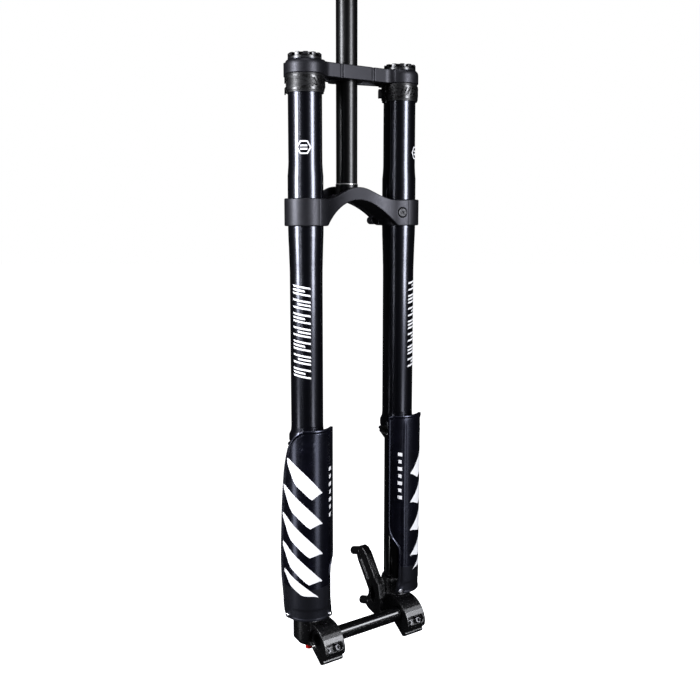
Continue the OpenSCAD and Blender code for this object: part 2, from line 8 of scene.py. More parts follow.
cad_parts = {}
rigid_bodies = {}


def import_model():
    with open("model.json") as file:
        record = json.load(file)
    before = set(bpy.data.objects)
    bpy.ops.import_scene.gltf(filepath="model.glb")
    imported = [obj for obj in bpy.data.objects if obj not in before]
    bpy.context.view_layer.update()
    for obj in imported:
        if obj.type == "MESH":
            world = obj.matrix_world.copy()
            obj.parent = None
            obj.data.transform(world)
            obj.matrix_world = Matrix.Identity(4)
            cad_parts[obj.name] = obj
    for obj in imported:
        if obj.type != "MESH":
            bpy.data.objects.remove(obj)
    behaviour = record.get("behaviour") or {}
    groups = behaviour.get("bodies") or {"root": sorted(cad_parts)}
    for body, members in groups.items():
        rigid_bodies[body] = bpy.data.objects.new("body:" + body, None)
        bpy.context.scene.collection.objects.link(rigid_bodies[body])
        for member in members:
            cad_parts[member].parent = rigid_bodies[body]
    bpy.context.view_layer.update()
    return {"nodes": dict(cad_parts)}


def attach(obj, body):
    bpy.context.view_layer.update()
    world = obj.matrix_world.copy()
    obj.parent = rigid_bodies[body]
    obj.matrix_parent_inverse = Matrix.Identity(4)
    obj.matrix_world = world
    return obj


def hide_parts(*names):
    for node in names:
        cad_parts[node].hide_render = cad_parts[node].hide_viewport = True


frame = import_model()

N = frame["nodes"]
SEAT = 6.5          # design heights are measured from the lower crown's clamps
LX, LY = 77.0, -16.5


def W(x, y, z):
    """design millimetres -> row frame metres"""
    return Vector((x / 1000.0, y / 1000.0, (z - SEAT) / 1000.0))


# ------------------------------------------------------------------ materials
def new_mat(name):
    m = bpy.data.materials.new(name)
    m.use_nodes = True
    nt = m.node_tree
    nt.nodes.clear()
    out = nt.nodes.new("ShaderNodeOutputMaterial")
    bsdf = nt.nodes.new("ShaderNodeBsdfPrincipled")
    nt.links.new(bsdf.outputs[0], out.inputs[0])
    tc = nt.nodes.new("ShaderNodeTexCoord")
    return m, nt, bsdf, tc


def noise(nt, tc, scale, detail=3.0, rough=0.55, stretch=None, dist=0.0):
    n = nt.nodes.new("ShaderNodeTexNoise")
    n.inputs["Scale"].default_value = scale
    n.inputs["Detail"].default_value = detail
    n.inputs["Roughness"].default_value = rough
    n.inputs["Distortion"].default_value = dist
    if stretch:
        mp = nt.nodes.new("ShaderNodeMapping")
        mp.inputs["Scale"].default_value = stretch
        nt.links.new(tc.outputs["Object"], mp.inputs["Vector"])
        nt.links.new(mp.outputs[0], n.inputs["Vector"])
    else:
        nt.links.new(tc.outputs["Object"], n.inputs["Vector"])
    return n.outputs["Fac"]


def rng(nt, src, a, b, c, d, smooth=True):
    r = nt.nodes.new("ShaderNodeMapRange")
    r.interpolation_type = "SMOOTHSTEP" if smooth else "LINEAR"
    r.inputs["From Min"].default_value = a
    r.inputs["From Max"].default_value = b
    r.inputs["To Min"].default_value = c
    r.inputs["To Max"].default_value = d
    nt.links.new(src, r.inputs["Value"])
    return r.outputs["Result"]


def math_node(nt, op, a, b=None):
    n = nt.nodes.new("ShaderNodeMath")
    n.operation = op
    for i, v in enumerate((a, b)):
        if v is None:
            continue
        if isinstance(v, (int, float)):
            n.inputs[i].default_value = v
        else:
            nt.links.new(v, n.inputs[i])
    return n.outputs[0]


def mix_col(nt, fac, a, b):
    n = nt.nodes.new("ShaderNodeMix")
    n.data_type = "RGBA"
    for sock, v in ((n.inputs[6], a), (n.inputs[7], b)):
        if isinstance(v, (tuple, list)):
            sock.default_value = (v[0], v[1], v[2], 1)
        else:
            nt.links.new(v, sock)
    nt.links.new(fac, n.inputs[0])
    return n.outputs[2]


def bump(nt, bsdf, heights):
    """heights: list of (socket, strength, distance in metres), chained"""
    prev = None
    for h, strength, dist in heights:
        b = nt.nodes.new("ShaderNodeBump")
        b.inputs["Strength"].default_value = strength
        b.inputs["Distance"].default_value = dist
        nt.links.new(h, b.inputs["Height"])
        if prev is not None:
            nt.links.new(prev, b.inputs["Normal"])
        prev = b.outputs[0]
    nt.links.new(prev, bsdf.inputs["Normal"])


def coated(name, dark, light, rough, metal=0.0, coat=0.0, coat_rough=0.04, grain=2600, grain_bump=0.00004, blotch=70,
           rough_var=0.06, streak=None, spec=0.5, wear=None, wear_amount=0.5, fleck=0.0):
    m, nt, bsdf, tc = new_mat(name)
    big = noise(nt, tc, blotch, 4.0, 0.6, dist=0.4)
    fine = noise(nt, tc, grain, 2.0, 0.6)
    mid = noise(nt, tc, blotch * 6, 3.0, 0.6)
    col = mix_col(nt, rng(nt, big, 0.3, 0.7, 0.0, 1.0), dark, light)
    if streak:
        st = noise(nt, tc, 1.0, 3.0, 0.6, stretch=streak)
        col = mix_col(nt, rng(nt, st, 0.42, 0.72, 0.0, 0.35), col, tuple(min(1, c * 1.35 + 0.0005) for c in light))
    if fleck:
        f = noise(nt, tc, grain * 0.6, 1.0, 0.4)
        col = mix_col(nt, rng(nt, f, 0.62, 0.74, 0.0, fleck), col, tuple(min(1, c * 2.0 + 0.004) for c in light))
    if wear:
        geo = nt.nodes.new("ShaderNodeNewGeometry")
        edge = rng(nt, geo.outputs["Pointiness"], 0.51, 0.58, 0.0, wear_amount)
        edge = math_node(nt, "MULTIPLY", edge, rng(nt, mid, 0.35, 0.65, 0.25, 1.0))
        col = mix_col(nt, edge, col, wear)
    nt.links.new(col, bsdf.inputs["Base Color"])
    r = rng(nt, mid, 0.25, 0.75, max(0.02, rough - rough_var), rough + rough_var)
    nt.links.new(r, bsdf.inputs["Roughness"])
    bsdf.inputs["Metallic"].default_value = metal
    bsdf.inputs["Specular IOR Level"].default_value = spec
    bsdf.inputs["Coat Weight"].default_value = coat
    bsdf.inputs["Coat Roughness"].default_value = coat_rough
    bump(nt, bsdf, [(fine, 0.6, grain_bump), (mid, 0.25, grain_bump * 1.5)])
    return m


M = {}
M["gloss_black"] = coated("gloss_black", (0.0002, 0.0002, 0.0005), (0.0004, 0.0004, 0.0010), 0.235, coat=0.25, coat_rough=0.14, grain=900,
                          grain_bump=0.000001, rough_var=0.006, spec=0.5)
M["steerer"] = coated("steerer_black", (0.0004, 0.0004, 0.0005), (0.0008, 0.0008, 0.0009), 0.3, grain=1800, grain_bump=0.000003,
                      streak=(420, 420, 3), rough_var=0.02, spec=0.3)
M["crown"] = coated("crown_black", (0.0014, 0.0014, 0.0020), (0.0026, 0.0026, 0.0034), 0.45, grain=3000, grain_bump=0.00003,
                    rough_var=0.05, wear=(0.02, 0.02, 0.022), wear_amount=0.3, fleck=0.12, spec=0.36)
M["anodised"] = coated("anodised_black", (0.0006, 0.0006, 0.0007), (0.0013, 0.0013, 0.0015), 0.28, grain=2600, grain_bump=0.000004,
                       rough_var=0.02, wear=(0.03, 0.03, 0.032), wear_amount=0.4, fleck=0.03)
M["axle"] = coated("axle_black", (0.0005, 0.0005, 0.0006), (0.0010, 0.0010, 0.0012), 0.2, grain=1500, grain_bump=0.000003,
                   streak=(3, 500, 500), rough_var=0.04, coat=0.3)
M["bolt_black"] = coated("bolt_black", (0.03, 0.03, 0.032), (0.07, 0.07, 0.074), 0.3, metal=0.6, grain=2000, grain_bump=0.00002,
                         wear=(0.2, 0.2, 0.21), wear_amount=0.5)
M["bolt_silver"] = coated("bolt_silver", (0.35, 0.35, 0.37), (0.5, 0.5, 0.52), 0.28, metal=1.0, grain=2000, grain_bump=0.00002,
                          wear=(0.7, 0.7, 0.72), wear_amount=0.5)
M["rubber"] = coated("rubber_black", (0.0014, 0.0014, 0.0016), (0.003, 0.003, 0.0034), 0.42, grain=1500, grain_bump=0.00002, blotch=160,
                     rough_var=0.1, fleck=0.05, spec=0.3)
M["strap"] = coated("strap_black", (0.0012, 0.0012, 0.0012), (0.0025, 0.0025, 0.0025), 0.28, grain=1300, grain_bump=0.00003, rough_var=0.08)
M["seal"] = coated("seal_black", (0.0015, 0.0015, 0.0015), (0.003, 0.003, 0.003), 0.4, grain=1800, grain_bump=0.00002)
M["brass"] = coated("bushing_bronze", (0.35, 0.24, 0.1), (0.5, 0.36, 0.17), 0.35, metal=1.0, grain=1800)
M["foam"] = coated("foam_grey", (0.12, 0.12, 0.115), (0.3, 0.3, 0.29), 0.9, grain=900, grain_bump=0.0002)
M["steel"] = coated("bright_steel", (0.55, 0.55, 0.56), (0.72, 0.72, 0.73), 0.2, metal=1.0, grain=1500, grain_bump=0.00001)
M["raw_alu"] = coated("machined_aluminium", (0.5, 0.5, 0.52), (0.66, 0.66, 0.68), 0.3, metal=1.0, grain=1200, grain_bump=0.00002,
                      streak=(60, 60, 1400))
M["stanchion"] = coated("stanchion_black", (0.0006, 0.0006, 0.0010), (0.0012, 0.0012, 0.0018), 0.14, coat=0.3, grain=1400,
                        grain_bump=0.000006, streak=(380, 380, 4), rough_var=0.03)
M["red"] = coated("red_anodised", (0.42, 0.006, 0.006), (0.6, 0.016, 0.012), 0.28, metal=0.6, grain=1800, grain_bump=0.00001)
M["valve"] = coated("valve_nickel", (0.5, 0.46, 0.36), (0.66, 0.62, 0.5), 0.25, metal=1.0, grain=1800, grain_bump=0.00001)
M["print_white"] = coated("print_white", (0.60, 0.60, 0.61), (0.68, 0.68, 0.69), 0.34, grain=1400, grain_bump=0.00001, blotch=120,
                          rough_var=0.05)
M["print_grey"] = coated("print_grey", (0.10, 0.10, 0.105), (0.15, 0.15, 0.155), 0.4, grain=1400, grain_bump=0.00001, blotch=120)


# the glossy finishes answer white light with a cool tint
for k, tint in (("gloss_black", (0.80, 0.83, 1.0, 1)), ("crown", (0.90, 0.90, 1.0, 1))):
    [n for n in M[k].node_tree.nodes if n.type == "BSDF_PRINCIPLED"][0].inputs["Specular Tint"].default_value = tint


def steerer_material():
    """satin black with a bright machined ring at the race seat"""
    m = M["steerer"]
    nt = m.node_tree
    bsdf = [n for n in nt.nodes if n.type == "BSDF_PRINCIPLED"][0]
    tc = [n for n in nt.nodes if n.type == "TEX_COORD"][0]
    sep = nt.nodes.new("ShaderNodeSeparateXYZ")
    nt.links.new(tc.outputs["Object"], sep.inputs[0])
    z = sep.outputs["Z"]
    lo = math_node(nt, "GREATER_THAN", z, 0.0131)
    hi = math_node(nt, "LESS_THAN", z, 0.01425)
    ring = math_node(nt, "MULTIPLY", lo, hi)
    old = bsdf.inputs["Base Color"].links[0].from_socket
    nt.links.new(mix_col(nt, ring, old, (0.72, 0.71, 0.69)), bsdf.inputs["Base Color"])
    nt.links.new(math_node(nt, "MULTIPLY", ring, 0.9), bsdf.inputs["Metallic"])


steerer_material()


def guard_material():
    """satin blue-black skin above, grained matte plastic below a slanting line"""
    m, nt, bsdf, tc = new_mat("guard_plastic")
    sep = nt.nodes.new("ShaderNodeSeparateXYZ")
    nt.links.new(tc.outputs["Object"], sep.inputs[0])
    wob = noise(nt, tc, 9.0, 2.0, 0.5)
    z = math_node(nt, "ADD", sep.outputs["Z"], math_node(nt, "MULTIPLY", wob, 0.03))
    low = rng(nt, z, -0.5135, -0.5105, 1.0, 0.0)
    big = noise(nt, tc, 60, 4.0, 0.6, dist=0.4)
    fine = noise(nt, tc, 1500, 2.0, 0.6)
    grain = noise(nt, tc, 900, 4.0, 0.7)
    scuff = noise(nt, tc, 1.0, 4.0, 0.65, stretch=(260, 260, 1500))
    top = mix_col(nt, rng(nt, big, 0.3, 0.7, 0, 1), (0.0003, 0.0003, 0.0010), (0.0007, 0.0007, 0.0022))
    bot = mix_col(nt, rng(nt, grain, 0.35, 0.7, 0, 1), (0.0008, 0.0008, 0.0009), (0.002, 0.002, 0.0022))
    col = mix_col(nt, low, top, bot)
    col = mix_col(nt, rng(nt, scuff, 0.66, 0.8, 0.0, 0.25), col, (0.012, 0.012, 0.014))
    nt.links.new(col, bsdf.inputs["Base Color"])
    r = rng(nt, big, 0.25, 0.75, 0.25, 0.28)
    r = math_node(nt, "ADD", r, math_node(nt, "MULTIPLY", low, 0.26))
    nt.links.new(r, bsdf.inputs["Roughness"])
    nt.links.new(math_node(nt, "SUBTRACT", 0.5, math_node(nt, "MULTIPLY", low, 0.28)), bsdf.inputs["Specular IOR Level"])
    bsdf.inputs["Coat Weight"].default_value = 0.08
    bsdf.inputs["Specular Tint"].default_value = (0.72, 0.76, 1.0, 1)
    bsdf.inputs["Coat Roughness"].default_value = 0.2
    h = math_node(nt, "MULTIPLY", math_node(nt, "ADD", grain, fine), math_node(nt, "ADD", math_node(nt, "MULTIPLY", low, 0.9), 0.12))
    bump(nt, bsdf, [(h, 0.5, 0.00005)])
    return m


M["guard"] = guard_material()

NODE_MAT = {
    "steerer": "steerer", "upper_crown": "crown", "lower_crown": "crown", "upper_crown_bolts": "bolt_black",
    "lower_crown_bolts": "bolt_black", "right_outer_tube": "gloss_black", "left_outer_tube": "gloss_black",
    "right_top_cap": "anodised", "left_top_cap": "anodised", "right_frame_bumper": "rubber", "left_frame_bumper": "rubber",
    "bumper_straps": "strap", "upper_bushings": "brass", "lower_bushings": "brass", "oil_seals": "seal", "foam_rings": "foam",
    "dust_wipers": "seal", "wiper_springs": "steel", "damper_cartridge": "raw_alu", "damper_seal_head": "raw_alu",
    "compression_valve": "raw_alu", "air_shaft": "raw_alu", "air_piston": "anodised", "air_valve": "valve",
    "air_valve_cap": "anodised", "compression_knob": "anodised", "right_stanchion": "stanchion", "left_stanchion": "stanchion",
    "right_dropout": "anodised", "left_dropout": "anodised", "right_guard": "guard", "left_guard": "guard",
    "guard_screws": "bolt_silver", "axle_pinch_bolts": "bolt_black", "damper_rod": "raw_alu", "damper_piston": "raw_alu",
    "rebound_rod": "raw_alu", "air_seal_head": "raw_alu", "top_out_bumper": "seal", "foot_nut": "anodised",
    "rebound_knob": "red", "through_axle": "axle",
}
for n, o in N.items():
    o.data.materials.clear()
    o.data.materials.append(M[NODE_MAT[n]])


# ------------------------------------------------------------------ helpers
def add_obj(name, bm, mat, body, sharp=38.0):
    for f in bm.faces:
        f.smooth = True
    lim = math.radians(sharp)
    for e in bm.edges:
        if len(e.link_faces) == 2 and e.calc_face_angle(0.0) > lim:
            e.smooth = False
    me = bpy.data.meshes.new(name)
    bm.to_mesh(me)
    bm.free()
    o = bpy.data.objects.new(name, me)
    bpy.context.scene.collection.objects.link(o)
    me.materials.append(mat)
    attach(o, body)
    return o


def soft_copy(node, name, mat, body, voxel, smooth, ratio):
    """the CAD solid with its sharp edges rounded, as forged and tumbled metal has them"""
    src = N[node]
    bm = bmesh.new()
    bm.from_mesh(src.data)
    bmesh.ops.remove_doubles(bm, verts=bm.verts, dist=1e-6)
    me = bpy.data.meshes.new(name + "_src")
    bm.to_mesh(me)
    bm.free()
    tmp = bpy.data.objects.new(name + "_src", me)
    bpy.context.scene.collection.objects.link(tmp)
    r = tmp.modifiers.new("r", "REMESH")
    r.mode = "VOXEL"
    r.voxel_size = voxel * 1.0
    s = tmp.modifiers.new("s", "SMOOTH")
    s.factor = 0.5
    s.iterations = smooth
    d = tmp.modifiers.new("d", "DECIMATE")
    d.ratio = ratio
    dg = bpy.context.evaluated_depsgraph_get()
    out = bpy.data.meshes.new_from_object(tmp.evaluated_get(dg))
    bpy.data.objects.remove(tmp)
    for p in out.polygons:
        p.use_smooth = True
    out.name = name
    o = bpy.data.objects.new(name, out)
    bpy.context.scene.collection.objects.link(o)
    out.materials.clear()
    out.materials.append(mat)
    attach(o, body)
    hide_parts(node)
    return o


soft_copy("upper_crown", "upper_crown_forging", M["crown"], "chassis", 0.00055, 9, 0.35)
soft_copy("lower_crown", "lower_crown_forging", M["crown"], "chassis", 0.0006, 8, 0.35)
soft_copy("left_dropout", "left_dropout_casting", M["anodised"], "lower", 0.0005, 7, 0.4)
soft_copy("right_dropout", "right_dropout_casting", M["anodised"], "lower", 0.0005, 7, 0.4)


# ------------------------------------------------------------------ guards
EO = [(-42, -299.2), (-36.5, -302.6), (-32, -306), (-27.5, -311), (-23.6, -317), (-19.2, -325.5), (-15.4, -336), (-11.8, -348),
      (-9, -361), (-5.8, -384), (-3.2, -408), (-1.3, -440), (0.2, -466), (0.6, -488), (-0.4, -508), (-3, -524), (-5, -536),
      (-5.4, -548), (-6.4, -556), (-10.5, -561), (-18, -563)]
EI = [(-40, -299.2), (-33.5, -302), (-32.4, -304), (-32.2, -330), (-32.2, -462), (-33.4, -470), (-36.4, -479), (-40.4, -486.5),
      (-43.6, -493), (-44.4, -502), (-44.4, -536), (-43.2, -546), (-42, -558), (-43, -563)]
GR, GT, GTOP, GLOW = 33.0, 2.4, -299.6, -562.6
QUARTER = GR * math.pi / 2


def edge_y(edge, z):
    zs = [-e[1] for e in edge]
    ys = [e[0] for e in edge]
    return float(np.interp(-z, zs, ys))


def s_of_y(y, outboard):
    yl = y - LY
    if outboard:
        return QUARTER + yl if yl > 0 else GR * math.acos(max(-1, min(1, -yl / GR)))
    return -GR * math.acos(max(-1, min(1, -yl / GR)))


def g_point(side, s, z, off):
    if s <= QUARTER:
        a = s / GR
        x, y = (GR + off) * math.sin(a), -(GR + off) * math.cos(a)
    else:
        x, y = GR + off, s - QUARTER
    return W(side * (LX + x), LY + y, z)


def smooth01(x):
    x = max(0.0, min(1.0, x))
    return x * x * (3 - 2 * x)


def outline():
    pts = []
    for z in np.linspace(GLOW, GTOP, 240):
        pts.append((s_of_y(edge_y(EO, z), True), z))
    top_out, top_in = s_of_y(edge_y(EO, GTOP), True), s_of_y(edge_y(EI, GTOP), False)
    for s in np.linspace(top_out, top_in, 60):
        pts.append((s, GTOP))
    for z in np.linspace(GTOP, GLOW, 240):
        pts.append((s_of_y(edge_y(EI, z), False), z))
    return np.array(pts)


OUT = outline()
SCREWS = [(QUARTER, -558.0), (-GR * math.radians(26), -558.0)]


def bar(s, z, s0, z0, ang, half_len, half_w, soft=0.5):
    """1 inside a slanted rounded bar, 0 outside"""
    c, n = math.cos(math.radians(ang)), math.sin(math.radians(ang))
    u, v = (s - s0) * c + (z - z0) * n, -(s - s0) * n + (z - z0) * c
    d = max(abs(u) - half_len, abs(v) - half_w)
    return smooth01(0.5 - d / soft)


def relief(s, z):
    d = float(np.min(np.hypot(OUT[:, 0] - s, OUT[:, 1] - z)))
    o = 0.0
    # rolled bead along the top and both sides, dying out at the bottom
    fade = smooth01((z + 556) / 14.0)
    if d < 3.4:
        o += fade * 1.15 * math.sqrt(max(0.0, 1 - ((d - 1.7) / 1.7) ** 2))
    elif d < 5.0:
        o -= fade * 0.25 * math.sin((d - 3.4) / 1.6 * math.pi)
    # crease where the inboard panel turns away from the front one
    o += 0.45 * math.exp(-((s + 10.5) / 1.3) ** 2) * smooth01((-304 - z) / 12.0) * smooth01((z + 552) / 10.0)
    # long stepped pocket on the inboard panel
    pz = smooth01((-424 - z) / 1.6) * smooth01((z + 549) / 1.6)
    ps = smooth01((s + 28.5) / 1.2) * smooth01((-13.5 - s) / 1.2)
    o -= 0.7 * pz * ps
    pz = smooth01((-415 - z) / 1.0) * smooth01((z + 424) / 1.0)
    ps = smooth01((s + 26.0) / 1.0) * smooth01((-19.5 - s) / 1.0)
    o -= 0.7 * pz * ps
    # moulded ladder near the lower outboard edge
    for k in range(5):
        o += 0.55 * bar(s, z, 57.0 - 1.3 * k, -516.0 - 6.6 * k, 24, 5.2, 1.1)
    # two moulded chevrons high on the front
    for k, zz in enumerate((-319.0, -327.0)):
        o += 0.5 * bar(s, z, 22.0, zz, 30, 4.6, 1.2)
        o += 0.5 * bar(s, z, 13.8, zz, -30, 4.6, 1.2)
    # soft step that frames the screws
    for s0, z0 in SCREWS:
        r = math.hypot(s - s0, z - z0)
        o += 1.2 * smooth01((5.0 - r) / 0.8)
    # horizontal step above the bottom pads
    o -= 0.5 * smooth01((-546.5 - z) / 1.2) * smooth01((s + 12) / 2.0) * smooth01((44 - s) / 2.0) * smooth01((z + 560.5) / 1.2)
    return o


D_EDGE = [0.0, 0.35, 0.8, 1.3, 1.8, 2.3, 2.8, 3.2, 3.6, 4.2, 5.0, 6.0]


def stations(a, b, n_mid):
    lo = [a + d for d in D_EDGE]
    hi = [b - d for d in D_EDGE][::-1]
    return lo + list(np.linspace(lo[-1], hi[0], n_mid + 2)[1:-1]) + hi


def guard(side, name, node):
    n_mid, n_row = ((62, 150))
    zs = stations(GLOW, GTOP, n_row)
    bm = bmesh.new()
    outer, inner = [], []
    for z in zs:
        a, b = s_of_y(edge_y(EI, z), False), s_of_y(edge_y(EO, z), True)
        ss = stations(a, b, n_mid)
        ro, ri = [], []
        for s in ss:
            ro.append(bm.verts.new(g_point(side, s, z, relief(s, z))))
            ri.append(bm.verts.new(g_point(side, s, z, -GT)))
        outer.append(ro)
        inner.append(ri)
    R, C = len(zs), len(outer[0])

    def quad(a, b, c, d):
        bm.faces.new((a, b, c, d) if side > 0 else (d, c, b, a))

    for i in range(R - 1):
        for j in range(C - 1):
            quad(outer[i][j], outer[i][j + 1], outer[i + 1][j + 1], outer[i + 1][j])
            quad(inner[i][j], inner[i + 1][j], inner[i + 1][j + 1], inner[i][j + 1])
    for i in range(R - 1):
        quad(outer[i][0], outer[i + 1][0], inner[i + 1][0], inner[i][0])
        quad(outer[i][-1], inner[i][-1], inner[i + 1][-1], outer[i + 1][-1])
    for j in range(C - 1):
        quad(outer[0][j], inner[0][j], inner[0][j + 1], outer[0][j + 1])
        quad(outer[-1][j], outer[-1][j + 1], inner[-1][j + 1], inner[-1][j])
    bmesh.ops.recalc_face_normals(bm, faces=bm.faces)
    o = add_obj(name, bm, M["guard"], "lower", sharp=50)
    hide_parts(node)
    return o


guard(1, "left_guard_shell", "left_guard")
guard(-1, "right_guard_shell", "right_guard")


# ------------------------------------------------------------------ printed graphics
def print_on(name, polys, mapper, mat, body, step=1.6, zstep=6.0):
    """flat shapes laid onto a curved surface as a thin film: polys are lists of (s, z), mapper gives the point"""
    bm = bmesh.new()
    for p in polys:
        vs = [bm.verts.new((s, z, 0)) for s, z in p]
        bm.faces.new(vs)
    los = min(s for p in polys for s, _ in p)
    his = max(s for p in polys for s, _ in p)
    loz = min(z for p in polys for _, z in p)
    hiz = max(z for p in polys for _, z in p)
    s = los + step
    while s < his:
        bmesh.ops.bisect_plane(bm, geom=bm.verts[:] + bm.edges[:] + bm.faces[:], plane_co=(s, 0, 0), plane_no=(1, 0, 0), dist=1e-5)
        s += step
    z = loz + zstep
    while z < hiz:
        bmesh.ops.bisect_plane(bm, geom=bm.verts[:] + bm.edges[:] + bm.faces[:], plane_co=(0, z, 0), plane_no=(0, 1, 0), dist=1e-5)
        z += zstep
    bmesh.ops.triangulate(bm, faces=bm.faces[:])
    faces = bm.faces[:]
    thick = bmesh.ops.extrude_face_region(bm, geom=faces)
    top = {v for v in thick["geom"] if isinstance(v, bmesh.types.BMVert)}
    for v in bm.verts:
        v.co = mapper(v.co.x, v.co.y, 0.16 if v in top else 0.04)
    bmesh.ops.recalc_face_normals(bm, faces=bm.faces)
    return add_obj(name, bm, mat, body, sharp=30)


def blade(z0, s_hi, s_lo, drop, thick, tip):
    """a swept blade that falls from the outboard edge towards the front"""
    pts = []
    n = 14
    for i in range(n + 1):
        t = i / n
        s = s_hi + (s_lo - s_hi) * t
        pts.append((s, z0 - drop * (t ** 1.35)))
    for i in range(n, -1, -1):
        t = i / n
        s = s_hi + (s_lo - s_hi) * t
        w = thick * min(1.0, (t + 0.10) / 0.35) * min(1.0, (1.0 - t) / tip + 0.0) if t < 1 else 0.0
        if i in (0, n):
            w = max(w, 1.2)
        pts.append((s, z0 - drop * (t ** 1.35) - w))
    return pts


def guard_map(side, extra=0.0):
    return lambda s, z, o: g_point(side, s, z, relief(s, z) + o + extra)


def guard_graphics(side, tag):
    polys = [blade(-338, 50, -1, 46, 27, 0.30), blade(-376, 59, -1, 50, 26, 0.30), blade(-416, 62.5, -1, 52, 25, 0.30),
             blade(-456, 63.5, 0, 50, 24, 0.30), blade(-494, 60, 6, 34, 15, 0.4)]
    print_on("guard_blades_" + tag, polys, guard_map(side), M["print_white"], "lower")
    dash = []
    for k in range(7):
        z = -352 - 10.5 * k
        w = 3.1 if k % 2 == 0 else 2.2
        dash.append([(-17.6 - w, z), (-17.6 + w, z - 1.2), (-17.6 + w, z - 6.2), (-17.6 - w, z - 5.0)])
    print_on("guard_ticks_" + tag, dash, guard_map(side), M["print_white"], "lower")


guard_graphics(1, "left")
guard_graphics(-1, "right")


def tube_map(side, r):
    return lambda s, z, o: W(side * (LX + (r + o) * math.sin(s / r)), LY - (r + o) * math.cos(s / r), z)


def tube_graphics(side, tag, a0, a1):
    r = 21.4
    polys = []
    for k in range(7):
        z = -109 - 17.9 * k
        sl, sr = r * math.radians(a0), r * math.radians(a1)
        # three slim bars that lean the same way, the middle one shorter
        for j in range(3):
            p, q = (sl, sr) if j != 1 else ((sl, sr - 7.5) if k % 2 else (sl + 7.5, sr))
            lean = 4.2 / (sr - sl)
            zz = z - 4.6 - 4.7 * j
            lo, hi = zz + lean * (p - sl), zz + lean * (q - sl)
            polys.append([(p - 0.9, lo - 2.5), (q - 0.9, hi - 2.5), (q, hi), (p, lo)])
    print_on("tube_stripes_" + tag, polys, tube_map(side, r), M["print_white"], "chassis")
    r = 21.8
    c, z = r * math.radians(38), 63.0
    ring = []
    for k in range(6):
        a, b = math.radians(60 * k), math.radians(60 * k + 60)
        ring.append([(c + 9.6 * math.cos(a), z + 9.6 * math.sin(a)), (c + 9.6 * math.cos(b), z + 9.6 * math.sin(b)),
                     (c + 7.7 * math.cos(b), z + 7.7 * math.sin(b)), (c + 7.7 * math.cos(a), z + 7.7 * math.sin(a))])
    for k in range(2):
        ring.append([(c - 4.4, z - 3.2 + 4.2 * k), (c + 4.4, z - 3.2 + 4.2 * k), (c + 4.4, z - 1.0 + 4.2 * k), (c - 4.4, z - 1.0 + 4.2 * k)])
    print_on("tube_badge_" + tag, ring, tube_map(side, r), M["print_white"], "chassis")


tube_graphics(1, "left", 4, 66)
tube_graphics(-1, "right", 20, 86)


# ------------------------------------------------------------------ bumper wraps
def ribbon(bm, side, pts, width, r0, r1, n=40):
    """a flat band wound on the bumper: pts are (angle from the front towards outboard, height), width across it"""
    pts = np.array(pts, float)
    t = np.linspace(0, len(pts) - 1, n)
    a = np.interp(t, range(len(pts)), pts[:, 0])
    z = np.interp(t, range(len(pts)), pts[:, 1])
    rows = []
    for i in range(n):
        j, k = max(0, i - 1), min(n - 1, i + 1)
        du, dz = math.radians(a[k] - a[j]) * r0, z[k] - z[j]
        L = math.hypot(du, dz) or 1.0
        nu, nz = -dz / L * width / 2, du / L * width / 2
        row = []
        for q, rr in ((-1, r0), (-0.85, r1), (0.85, r1), (1, r0)):
            aa = math.radians(a[i]) + q * nu / r0
            row.append(bm.verts.new(W(side * (LX + rr * math.sin(aa)), LY - rr * math.cos(aa), z[i] + q * nz)))
        rows.append(row)
    for i in range(n - 1):
        for q in range(4):
            bm.faces.new((rows[i][q], rows[i][(q + 1) % 4], rows[i + 1][(q + 1) % 4], rows[i + 1][q]))
    bm.faces.new(rows[0])
    bm.faces.new(rows[-1][::-1])


def bumper_wrap(side, tag):
    bm = bmesh.new()
    # two bands that cross on the front, and a third that sags under them
    ribbon(bm, side, [(-70, 150.5), (-20, 147), (30, 140), (80, 136.5), (120, 136)], 4.6, 23.7, 25.0)
    ribbon(bm, side, [(-75, 137.5), (-20, 139), (30, 145.5), (80, 149.5), (125, 150.5)], 4.2, 23.7, 25.3)
    ribbon(bm, side, [(-80, 143.5), (-10, 135.2), (60, 134.0), (110, 141)], 3.2, 23.7, 24.7)
    bmesh.ops.recalc_face_normals(bm, faces=bm.faces)
    add_obj("bumper_bands_" + tag, bm, M["rubber"], "chassis", sharp=40)
    bm = bmesh.new()
    # leaning moulded ribs on the inboard front
    for k in range(5):
        a = -46 + 11 * k if side < 0 else -28 + 11 * k
        ribbon(bm, side, [(a - 5, 138.0), (a + 5, 148.2)], 2.0, 24.6, 26.1, n=8)
    ribbon(bm, side, [(-54 if side < 0 else -36, 137.6), (8 if side < 0 else 26, 137.6)], 1.6, 24.5, 25.8, n=16)
    ribbon(bm, side, [(-48 if side < 0 else -30, 148.6), (14 if side < 0 else 32, 148.6)], 1.6, 24.5, 25.8, n=16)
    bmesh.ops.recalc_face_normals(bm, faces=bm.faces)
    add_obj("bumper_ribs_" + tag, bm, M["strap"], "chassis", sharp=40)


bumper_wrap(1, "left")
bumper_wrap(-1, "right")


# ------------------------------------------------------------------ stage, light, camera
scene = bpy.context.scene


AZ, PITCH = math.radians(35.92), math.radians(8.58)
AHEAD = Vector((math.sin(AZ), math.cos(AZ), 0))
ASIDE = Vector((math.cos(AZ), -math.sin(AZ), 0))


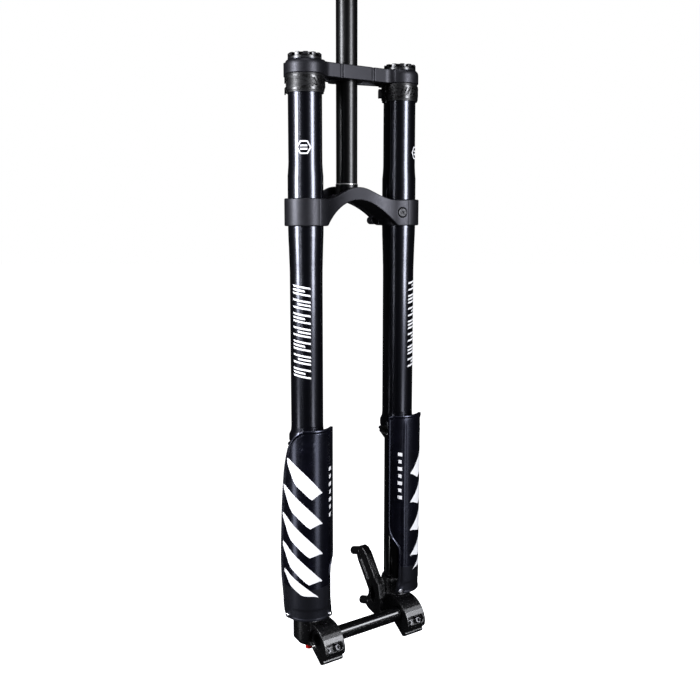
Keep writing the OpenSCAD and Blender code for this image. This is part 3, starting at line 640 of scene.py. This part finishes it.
def stage():
    me = bpy.data.meshes.new("floor")
    bm = bmesh.new()
    z = -0.86
    vs = [bm.verts.new(AHEAD * f + ASIDE * r + Vector((0, 0, z))) for f, r in ((-0.7, -9), (-0.7, 9), (14, 9), (14, -9))]
    bm.faces.new(vs)
    bm.to_mesh(me)
    bm.free()
    o = bpy.data.objects.new("floor", me)
    scene.collection.objects.link(o)
    m, nt, bsdf, tc = new_mat("floor_white")
    n = noise(nt, tc, 3.0, 2.0, 0.5)
    nt.links.new(mix_col(nt, n, (0.80, 0.80, 0.80), (0.84, 0.84, 0.84)), bsdf.inputs["Base Color"])
    bsdf.inputs["Roughness"].default_value = 0.9
    bsdf.inputs["Emission Color"].default_value = (1, 1, 1, 1)
    bsdf.inputs["Emission Strength"].default_value = 1.02
    me.materials.append(m)
    o.visible_glossy = False
    o.visible_diffuse = False


stage()
w = bpy.data.worlds.new("studio")
scene.world = w
w.use_nodes = True
nt = w.node_tree
nt.nodes.clear()
out = nt.nodes.new("ShaderNodeOutputWorld")
mixs = nt.nodes.new("ShaderNodeMixShader")
lp = nt.nodes.new("ShaderNodeLightPath")
b1 = nt.nodes.new("ShaderNodeBackground")
b1.inputs[0].default_value = (0.9, 0.93, 1.0, 1)
b1.inputs[1].default_value = 0.02
b2 = nt.nodes.new("ShaderNodeBackground")
b2.inputs[0].default_value = (1, 1, 1, 1)
b2.inputs[1].default_value = 1.0
nt.links.new(lp.outputs["Is Camera Ray"], mixs.inputs[0])
nt.links.new(b1.outputs[0], mixs.inputs[1])
nt.links.new(b2.outputs[0], mixs.inputs[2])
nt.links.new(mixs.outputs[0], out.inputs[0])

F = Vector((math.sin(AZ) * math.cos(PITCH), math.cos(AZ) * math.cos(PITCH), -math.sin(PITCH)))


def area(name, angle, dist, height, wx, hz, power, tilt=0.0, target=(0, -0.016, -0.2)):
    """angle: degrees to the right of the camera's direction as seen from the object; negative is left"""
    # direction from the object to the light on the ground plane
    d = Vector((math.sin(AZ + math.pi - math.radians(angle)), math.cos(AZ + math.pi - math.radians(angle)), 0))
    l = bpy.data.lights.new(name, "AREA")
    l.shape = "RECTANGLE"
    l.size = wx
    l.size_y = hz
    l.energy = power
    l.color = (0.93, 0.945, 1.0)
    o = bpy.data.objects.new(name, l)
    scene.collection.objects.link(o)
    t = Vector(target)
    o.location = t + d * dist + Vector((0, 0, height))
    o.rotation_mode = "QUATERNION"
    o.rotation_quaternion = (t - o.location).to_track_quat("-Z", "Y")
    return o


area("box_left", -57, 1.35, 0.30, 0.40, 0.85, 50, target=(0, -0.016, -0.12))
area("box_right", 50, 1.6, 0.30, 0.50, 0.95, 46, target=(0, -0.016, -0.12))
area("box_slit", -34, 2.2, 0.25, 0.05, 1.2, 5.0, target=(0, -0.016, -0.12))
area("box_low", 44, 1.7, -0.35, 0.5, 0.5, 4, target=(0, -0.016, -0.5))
area("box_low_left", -62, 1.5, -0.35, 0.4, 0.5, 4, target=(0, -0.016, -0.5))
# a box that only lights the axle and its clamps
low_set = bpy.data.collections.new("axle_light_set")
for n in ("through_axle", "left_dropout", "right_dropout", "axle_pinch_bolts", "foot_nut", "rebound_knob"):
    low_set.objects.link(N[n])
for n in ("left_dropout_casting", "right_dropout_casting"):
    low_set.objects.link(bpy.data.objects[n])
for o in (area("box_axle", 76, 1.2, 0.72, 0.5, 0.4, 9, target=(0, -0.05, -0.6)),
          area("box_clamp", 12, 1.2, 1.0, 0.6, 0.5, 5, target=(0, -0.05, -0.6))):
    o.light_linking.receiver_collection = low_set
area("box_top", 10, 0.8, 1.7, 0.9, 0.7, 9, target=(0, -0.016, 0.1))

cam = bpy.data.cameras.new("camera")
co = bpy.data.objects.new("camera", cam)
scene.collection.objects.link(co)
scene.camera = co
cam.sensor_fit = "HORIZONTAL"
cam.sensor_width = 36.0
cam.lens = 36.0 * 890.16 / 700.0
cam.clip_start = 0.01
cam.clip_end = 60
co.location = W(-712.8, -991.5, -22.0)
co.rotation_mode = "QUATERNION"
co.rotation_quaternion = F.to_track_quat("-Z", "Y")
scene.view_settings.view_transform = "Standard"
scene.view_settings.look = "None"
scene.view_settings.exposure = 0.0

bpy.context.view_layer.update()
